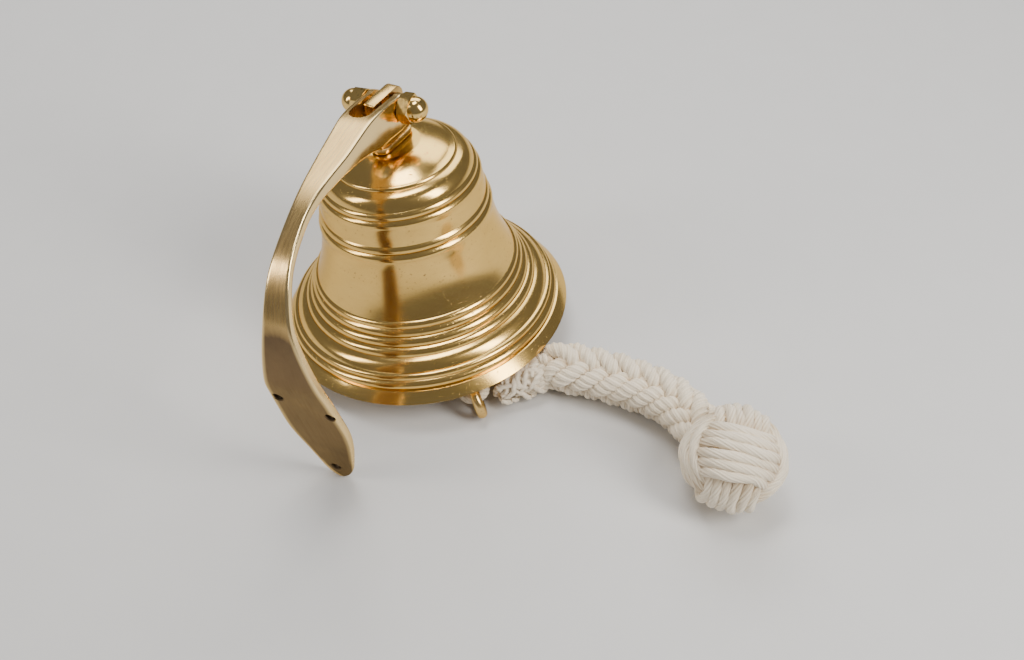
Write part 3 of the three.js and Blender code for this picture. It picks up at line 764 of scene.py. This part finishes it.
def add_knot():
    """A ball knot: three sets of parallel strands, each passing over one set and under the next."""
    low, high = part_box("lanyard_knot")
    middle = np.array((low + high) / 2) / MM
    place = np.array(facing(KNOT_FACE, KNOT_TILT, Vector((0, 0, 0))).to_3x3())
    bundle = Bundle()
    outer = KNOT_RADIUS - KNOT_STRAND_RADIUS
    inner = outer - KNOT_DIP
    turns = np.linspace(0.5 * math.pi, 2.5 * math.pi, 110)  # each strand's ends meet under another set
    for group in range(3):
        normal, over, under = (place[:, (group + i) % 3] for i in range(3))
        for k, offset in enumerate(KNOT_STRANDS_AT):
            a = math.sqrt(outer ** 2 - offset ** 2)
            b = math.sqrt(inner ** 2 - offset ** 2)
            path = middle + normal * offset + round_ellipse(over, under, a, b, turns)
            path = above_ground(path + wander(10 * group + k, len(turns), 0.55), KNOT_STRAND_RADIUS)
            path[-1] = path[0]
            # painted shade where each strand dips under the next set
            depth = 0.75 * np.abs(np.sin(turns)) ** 3
            bundle.strand(path, KNOT_STRAND_RADIUS, depth, sides=48, lobes=8, lay=40, phase=group + k,
                          lobe_depth=0.17)
    levels = np.linspace(-KNOT_HEART_HALF, KNOT_HEART_HALF, 24)
    heart = np.array([(middle[0], middle[1], middle[2] + z) for z in levels])
    swell = np.sqrt(KNOT_HEART_RADIUS ** 2 - levels ** 2)
    # the knot's heart is painted in shade
    bundle.strand(heart, swell, 0.9, sides=28, lobe_depth=0.0)
    bundle.fuzz(*KNOT_FIBRES)
    return finish_piece(bundle.piece("lanyard_ball_knot"), "lanyard", COTTON, "cotton_rope", "lanyard_knot")


def add_loop():
    """The small loop of strand that holds the clapper's tail eye."""
    far = TAIL_NORMAL.cross(CLAPPER_AXIS).normalized()
    far = far if far.y > 0 else -far
    radial = (far - CLAPPER_AXIS).normalized()
    held = TAIL_CENTRE + radial * TAIL_RING
    axis = TAIL_NORMAL.cross(radial)
    place = np.array(facing(axis, TAIL_NORMAL, Vector((0, 0, 0))).to_3x3())
    bundle = Bundle()
    turns = np.linspace(0, 2 * math.pi, 64)
    for k, (offset, radius) in enumerate(LOOP_STRANDS):
        ring = round_ellipse(place[:, 0], place[:, 1], LOOP_RADIUS, LOOP_RADIUS, turns)
        path = np.array(held) + place[:, 2] * offset + ring
        path[-1] = path[0]
        # some painted shade on the loop's strands
        bundle.strand(path, radius, 0.25, sides=16, lay=9, phase=k)
    return finish_piece(bundle.piece("lanyard_eye_loop"), "clapper", COTTON, "cotton_rope", "lanyard_loop")


add_lanyard()


# ---- bell ------------------------------------------------
def moulding(start, end, steps):
    """A profile's points from one row of OUTSIDE to the next, bulging as the next says."""
    r0, h0, _ = start
    r1, h1, bulge = end
    along = Vector((r1 - r0, h1 - h0))
    out = Vector((along.y, -along.x)).normalized()
    rows = []
    for i in range(1, steps + 1):
        t = i / steps
        lift = bulge * 4 * t * (1 - t)
        rows.append((r0 + along.x * t + out.x * lift, h0 + along.y * t + out.y * lift))
    return rows


def add_bell():
    profile = [OUTSIDE[0][:2]]
    for start, end in zip(OUTSIDE, OUTSIDE[1:]):
        profile += moulding(start, end, 7 if end[2] else 1)
    profile += [(13.6, CROWN_SEAT), (CROWN_HOLE, CROWN_SEAT), (CROWN_HOLE, CROWN_INSIDE), (12, CROWN_INSIDE)]
    profile += [tuple(row) for row in catmull(INSIDE, 5)]
    bell = lathe("bell", profile, 192, BELL, closed=True, crease=28)
    finish_piece(bell, "bell", POLISHED, "polished_brass", "bell_shell")


add_bell()


# ---- hanger ----------------------------------------------
HANGER_YAW = Matrix.Rotation(math.radians(-9.5), 4, "Z")
BAR_HALF, BAR_RISE, BAR_THICKNESS = 11.25, 6.6, 6.2  # half its length, and its top above the pivot
FOOT_ROUND, FOOT_STRAIGHT, FOOT_THICKNESS = 5.25, 7.75, 3  # its ends' radius, and half of its straight sides
STEM_RADIUS, STEM_END = 4.6, 87
BAR_HOLE = 4.3


def extrude(name, outline, depth, place):
    """A flat outline, in its own x and y, given a depth along z."""
    rings = [[(x, y, z) for x, y in outline] for z in (-depth / 2, depth / 2)]
    return loft(name, rings, place)


def hanger_bar(bottom):
    top = PIVOT_HEIGHT + BAR_RISE
    outline = [(-BAR_HALF, bottom + 1), (BAR_HALF, bottom + 1)]
    outline += arc(BAR_HALF - 5, top - 5, 5, 0, math.pi / 2, 9)
    outline += arc(1 - BAR_HALF, top - 1, 1, math.pi / 2, math.pi, 4)
    upright = BELL @ HANGER_YAW @ quarter_turn("Z") @ quarter_turn("X")
    bar = extrude("hanger_piece", outline, BAR_THICKNESS, upright)
    soften(bar, 0.45)
    return bar


def hanger_foot(middle):
    outline = arc(0, -FOOT_STRAIGHT, FOOT_ROUND, math.pi, 2 * math.pi, 25)
    outline += arc(0, FOOT_STRAIGHT, FOOT_ROUND, 0, math.pi, 25)
    foot = extrude("hanger_foot", outline, FOOT_THICKNESS,
                   BELL @ HANGER_YAW @ Matrix.Translation((0, 0, middle * MM)))
    soften(foot, 0.5)
    return foot


def add_hanger():
    """An upright bar on an oblong foot, with a stem down through the crown and a hole for the stud."""
    bottom = CROWN_SEAT + GAP
    middle = bottom + FOOT_THICKNESS / 2
    bar = hanger_bar(bottom)
    stem = lathe("hanger_stem", [(0, STEM_END), (STEM_RADIUS - 0.3, STEM_END), (STEM_RADIUS, STEM_END + 0.4),
                                 (STEM_RADIUS, middle), (0, middle)], 40, BELL)
    combine(bar, [hanger_foot(middle), stem], "UNION")
    combine(bar, [cylinder(BAR_HOLE, -20, 20, ACROSS_PIVOT)])
    finish_piece(bar, "bell", SATIN, "satin_brass", "hanger")


add_hanger()


# ---- crown washer, nut, eye, link and clapper ------------
WASHER_RADIUS, WASHER_THICKNESS = 10, 1.2
CROWN_NUT_FLATS, CROWN_NUT_HEIGHT = 16, 5
BOSS_RADIUS, BOSS_HEIGHT, BOSS_WALL = 6.4, 5.6, 1.3
STEM_BORE = 4.9  # radius of the washer's, nut's and boss's holes
WASHER_FLOOR = CROWN_INSIDE - GAP - WASHER_THICKNESS
NUT_FLOOR = WASHER_FLOOR - GAP - CROWN_NUT_HEIGHT
BOSS_TOP = NUT_FLOOR - GAP
BOSS_FLOOR = BOSS_TOP - BOSS_HEIGHT
EYE_HEIGHT = BOSS_FLOOR - EYE_RING - EYE_WIRE + 1.2


def hexagon_prism(name, across_flats, height, place, chamfer=0.7):
    """A nut blank: a hexagon whose corners are turned off at both ends."""
    corner = across_flats / math.sqrt(3)
    blank = lathe(name, [(0, 0), (corner, 0), (corner, height), (0, height)], 6, place)
    turned = lathe(name + "_turned", [(0, 0), (corner - chamfer * 1.4, 0), (corner + 0.1, chamfer),
                                      (corner + 0.1, height - chamfer), (corner - chamfer * 1.4, height),
                                      (0, height)], 96, place)
    return combine(blank, [turned], "INTERSECT")


def add_washer():
    top, bottom, edge = WASHER_FLOOR + WASHER_THICKNESS, WASHER_FLOOR, 0.2
    profile = [(STEM_BORE, bottom), (WASHER_RADIUS - edge, bottom), (WASHER_RADIUS, bottom + edge),
               (WASHER_RADIUS, top - edge), (WASHER_RADIUS - edge, top), (STEM_BORE, top)]
    washer = lathe("crown_ring", profile, 72, BELL, closed=True)
    finish_piece(washer, "bell", AGED, "aged_brass", "crown_washer")


def add_crown_nut():
    seat = lifted(NUT_FLOOR)
    nut = hexagon_prism("crown_hexagon", CROWN_NUT_FLATS, CROWN_NUT_HEIGHT, seat)
    combine(nut, [cylinder(STEM_BORE, -2, 8, seat)])
    finish_piece(nut, "bell", AGED, "aged_brass", "crown_nut")


def add_crown_eye():
    """A ring under a hollow boss that screws on the stem."""
    across = UP.cross(BELL.to_3x3().inverted() @ LEAN_WAY)
    eye = torus("crown_eye_piece", EYE_RING, WORN_WIRE, BELL @ facing(across, UP, UP * EYE_HEIGHT))
    profile = [(0, BOSS_FLOOR), (4.9, BOSS_FLOOR), (6, BOSS_FLOOR + 0.5), (BOSS_RADIUS, BOSS_FLOOR + 1.5),
               (BOSS_RADIUS, BOSS_TOP - 0.3), (BOSS_RADIUS - 0.3, BOSS_TOP), (STEM_BORE, BOSS_TOP),
               (STEM_BORE, BOSS_FLOOR + BOSS_WALL), (0, BOSS_FLOOR + BOSS_WALL)]
    boss = lathe("boss", profile, 64, BELL)
    combine(eye, [boss], "UNION")
    finish_piece(eye, "bell", SATIN, "satin_brass", "crown_eye")


def on_clapper(distance):
    """A point down the clapper's axis from where it swings."""
    return CLAPPER_PIVOT + CLAPPER_AXIS * distance


HEAD_AT = EYE_RING - 2 * EYE_WIRE - GAP
ROD_START, ROD_END = HEAD_AT + EYE_RING, CLAPPER_LENGTH - TAIL_RING - TAIL_WIRE - 5
ALONG_CLAPPER = facing(CLAPPER_AXIS, UP, CLAPPER_PIVOT)
TAIL_NECK_RADIUS = 3.6


def add_link():
    link = torus("link_ring", LINK_RING, WORN_WIRE, facing(LEAN_WAY, UP, CLAPPER_PIVOT + UP * LINK_RING))
    finish_piece(link, "link", SATIN, "satin_brass", "clapper_link")


def add_clapper_rod():
    rod = torus("clapper_shaft", EYE_RING, EYE_WIRE, facing(SWING_AXIS, UP, on_clapper(HEAD_AT)))
    profile = [(0, ROD_START), (2.4, ROD_START), (2.6, ROD_START + 2), (ROD_RADIUS, ROD_START + 4),
               (ROD_RADIUS, ROD_END - 0.4), (ROD_RADIUS - 0.3, ROD_END), (0, ROD_END)]
    combine(rod, [lathe("shaft", profile, 48, ALONG_CLAPPER)], "UNION")
    finish_piece(rod, "clapper", SATIN, "satin_brass", "clapper_rod")


def add_clapper_ball():
    """A ball with a hole through it for the rod."""
    tilt = math.asin((ROD_RADIUS + GAP) / BALL_RADIUS)
    profile = arc(0, 0, BALL_RADIUS, tilt - math.pi / 2, math.pi / 2 - tilt, 40)
    place = facing(CLAPPER_AXIS, UP, on_clapper(BALL_DISTANCE))
    ball = lathe("clapper_head", profile, 72, place, closed=True)
    finish_piece(ball, "clapper", BRIGHT, "bright_brass", "clapper_ball")


def add_tail_eye():
    tail = torus("clapper_tail", TAIL_RING, TAIL_WIRE, facing(TAIL_NORMAL, UP, TAIL_CENTRE))
    start, radius = ROD_END + GAP, TAIL_NECK_RADIUS
    profile = [(0, start), (radius - 0.3, start), (radius, start + 0.3), (radius, start + 3.5),
               (radius - 0.4, ROD_END + 6.5), (0, ROD_END + 6.5)]
    combine(tail, [lathe("tail_neck", profile, 48, ALONG_CLAPPER)], "UNION")
    finish_piece(tail, "clapper", SATIN, "satin_brass", "clapper_tail_eye")


add_washer()
add_crown_nut()
add_crown_eye()
add_link()
add_clapper_rod()
add_clapper_ball()
add_tail_eye()


# ---- wall bracket ----------------------------------------
PLATE_WAY = (PLATE_TIP - PLATE_TOP).normalized()
PLATE_LENGTH = (PLATE_TIP - PLATE_TOP).length
PATINA_DROP, PATINA_CURVE, PATINA_RATE = 30, 0.035, 0.045  # where the brown starts, below the pivot
EDGE_HIGHLIGHT_WIDTH, EDGE_HIGHLIGHT_FADE = 1.7, 1.1  # the painted highlight along the edges, which also makes them smoother


def skew_at(reach, drop=0.0):
    """How far the bracket stands to one side, at a reach and a depth below the pivot."""
    tip = max(0.0, drop - TIP_LEAN_FROM) / (-PLATE_TIP.y - TIP_LEAN_FROM)
    return BRACKET_SKEW * max(0, reach - SKEW_FROM) - TIP_LEAN * tip ** 2


def bracket_section(outer, tangent, width, depth):
    """One rounded section of the bracket, as points in the bell frame, with its flats divided."""
    inward = Vector((tangent.y, -tangent.x))
    corner = min(1.0, depth / 3, width / 3)
    half, parts = width / 2, 14
    ring = []
    for cx, cy, start in ((half - corner, corner, 0), (half - corner, depth - corner, 90),
                          (-half + corner, depth - corner, 180), (-half + corner, corner, 270)):
        for i in range(5):
            turn = math.radians(start + 90 * i / 4)
            ring.append((cx + corner * math.sin(turn), cy - corner * math.cos(turn)))
        if start in (90, 270):
            edge = (half - corner) * (1 if start == 90 else -1)
            ring += [(edge * (1 - 2 * i / parts), ring[-1][1]) for i in range(1, parts)]
    return [(across + skew_at(outer.x, -outer.y), -(outer.x + inward.x * deep),
             PIVOT_HEIGHT + outer.y + inward.y * deep) for across, deep in ring]


def fork_head():
    """Sections that round off the fork behind the pivot."""
    stations = []
    _, rise, _, head_depth = ARM[0]
    for turn in np.linspace(88, 6, 14):
        depth = head_depth * math.cos(math.radians(turn))
        outer = Vector((-FORK_BACK * math.sin(math.radians(turn)), rise - (head_depth - depth) / 2))
        stations.append((outer, Vector((1, 0)), FORK_WIDTH, depth))
    return stations


def plate_row(distance, width):
    """The plate's reach, rise, width and thickness at a distance down it."""
    at = PLATE_TOP + PLATE_WAY * distance
    thickness = PLATE_THICKNESS - TIP_THINNING * (distance / PLATE_LENGTH) ** 3
    return (at.x, at.y, width, thickness)


def blurred(numbers, reach):
    """Numbers along a line, evened out with their neighbours."""
    weights = np.hanning(2 * reach + 3)[1:-1]
    padded = np.concatenate((np.repeat(numbers[:1], reach), numbers, np.repeat(numbers[-1:], reach)))
    return np.convolve(padded, weights / weights.sum(), "valid")


def bracket_stations():
    """Sections down the arm and the plate, evenly spaced, with their outlines faired."""
    rows = list(ARM) + [plate_row(distance, width) for distance, width in PLATE_WIDTHS]
    dense = catmull(rows, 12)
    along = distance_along(dense[:, :2])
    even = np.arange(0, along[-1], 1.2)
    line = np.stack([np.interp(even, along, dense[:, i]) for i in range(4)], 1)
    fair = np.stack([blurred(line[:, i], 6) for i in range(4)], 1)
    ease = np.clip(even / 20, 0, 1)[:, None]  # both ends stay where they are
    fair = line + (fair - line) * ease * np.clip((even[-1] - even) / 10, 0, 1)[:, None]
    tangents = np.gradient(fair[:, :2], axis=0)
    stations = fork_head()
    for (reach, height, width, depth), (tx, ty) in zip(fair, tangents):
        stations.append((Vector((reach, height)), Vector((tx, ty)).normalized(), width, depth))
    last, last_width = PLATE_WIDTHS[-1]
    first = math.radians(TIP_START)
    for angle in np.linspace(first, math.radians(88), 16)[1:]:
        reach = (math.sin(angle) - math.sin(first)) / (1 - math.sin(first))
        width = last_width * math.cos(angle) / math.cos(first)
        row = plate_row(last + (PLATE_LENGTH - TIP_CLEAR - last) * reach, width)
        stations.append((Vector(row[:2]), PLATE_WAY, row[2], row[3]))
    return stations


def slot_tool():
    """The fork's slot, which ends in a half circle."""
    side, end = FORK_SLOT / 2, SLOT_END - FORK_SLOT / 2
    outline = [(side, 20), (-side, 20)] + arc(0, -end, side, math.pi, 2 * math.pi, 25)
    return extrude("slot", outline, 60, lifted(PIVOT_HEIGHT))


def screw_tool(across, distance):
    """A screw hole with a chamfered mouth."""
    mouth, outward = screw_place(across, distance)
    profile = [(0, -12), (SCREW_RADIUS, -12), (SCREW_RADIUS, -0.6), (SCREW_RADIUS + 0.6, 0.02),
               (SCREW_RADIUS + 1, 2), (0, 2)]
    return lathe("screw", profile, 48, BELL @ facing(outward, Vector((1, 0, 0)), mouth))


def mark_bracket(bracket, stations):
    """Stores where the forging is brown, where its edges get a painted highlight and are rubbed smoother, and
    where the screw holes get painted shade.
    """
    values = {"patina": [], "wear_and_edge_highlight": [], "screw_hole_shade": []}
    spine = np.array([tuple(outer) for outer, _, _, _ in stations])
    halves = np.array([width / 2 for _, _, width, _ in stations])
    for vertex in bracket.data.vertices:
        x, y, z = vertex.co / MM
        across = abs(x - skew_at(-y))
        half = halves[np.argmin(np.hypot(spine[:, 0] + y, spine[:, 1] - z + PIVOT_HEIGHT))]
        down = PIVOT_HEIGHT - PATINA_DROP - z - PATINA_CURVE * across ** 2
        values["patina"].append(min(1.0, max(0.0, 0.5 + PATINA_RATE * down)))
        # painted highlight along both edges, also used to make them smoother
        values["wear_and_edge_highlight"].append(min(1.0, max(0.0, (across - half + EDGE_HIGHLIGHT_WIDTH) / EDGE_HIGHLIGHT_FADE)))
        # painted shade on the walls of the screw holes
        values["screw_hole_shade"].append(0.8 if in_screw_hole(Vector((x, y, z))) else 0.0)
    for name, numbers in values.items():
        bracket.data.attributes.new(name, "FLOAT", "POINT").data.foreach_set("value", numbers)


def screw_place(across, distance):
    """A screw hole's mouth in the bell frame, and the way out of it."""
    at = PLATE_TOP + PLATE_WAY * distance
    outward = Vector((0, -abs(PLATE_WAY.y), -abs(PLATE_WAY.x)))
    return Vector((across + skew_at(at.x), -at.x, PIVOT_HEIGHT + at.y)), outward.normalized()


def in_screw_hole(point):
    """Whether a point of the bracket, in the bell frame, is on the wall of a screw hole."""
    for hole in SCREW_HOLES:
        mouth, outward = screw_place(*hole)
        away = point - mouth
        deep = -away.dot(outward)
        if 0.5 < deep and (away + outward * deep).length < SCREW_RADIUS + 0.1:
            return True
    return False


def add_bracket():
    stations = bracket_stations()
    bracket = loft("bracket", [bracket_section(*station) for station in stations], BELL)
    stud_hole = cylinder(STUD_RADIUS + GAP, -30, 30, ACROSS_PIVOT)
    combine(bracket, [slot_tool(), stud_hole] + [screw_tool(*hole) for hole in SCREW_HOLES])
    mark_bracket(bracket, stations)
    finish_piece(bracket, "bracket", BRACKET, "satin_brass", "wall_bracket")


NUT_FLATS, NUT_HEIGHT, NUT_SEAT = 13, 6, FORK_WIDTH / 2 + GAP
DOME_RADIUS, DOME_CENTRE = 6.1, 6.9
STUD_REACH = NUT_SEAT + 9


def add_stud():
    profile = [(0, -STUD_REACH), (STUD_RADIUS - 0.4, -STUD_REACH), (STUD_RADIUS, 0.4 - STUD_REACH),
               (STUD_RADIUS, STUD_REACH - 0.4), (STUD_RADIUS - 0.4, STUD_REACH), (0, STUD_REACH)]
    stud = lathe("stud", profile, 48, ACROSS_PIVOT)
    finish_piece(stud, "bracket", SATIN, "satin_brass", "pivot_stud")


def add_dome_nut(node, side, twist):
    """A hexagon with a dome on it, and a blind hole for the stud."""
    seat = lifted(PIVOT_HEIGHT) @ Matrix.Translation((side * NUT_SEAT * MM, 0, 0))
    seat = seat @ Matrix.Rotation(math.radians(90 * side), 4, "Y") @ Matrix.Rotation(twist, 4, "Z")
    nut = hexagon_prism(node + "_piece", NUT_FLATS, NUT_HEIGHT, seat, 0.8)
    profile = [(0, 4), (DOME_RADIUS, 4), (DOME_RADIUS, NUT_HEIGHT + 0.3)]
    profile += arc(0, DOME_CENTRE, DOME_RADIUS, 0, math.pi / 2, 22)[:-1] + [(0, DOME_CENTRE + DOME_RADIUS)]
    combine(nut, [lathe("dome", profile, 64, seat)], "UNION")
    combine(nut, [cylinder(STUD_RADIUS + GAP, -5, STUD_REACH - FORK_WIDTH / 2, seat)])
    finish_piece(nut, "bracket", BRIGHT, "bright_brass", node)


add_bracket()
add_stud()
add_dome_nut("dome_nut_right", 1, 0.35)
add_dome_nut("dome_nut_left", -1, 0.1)
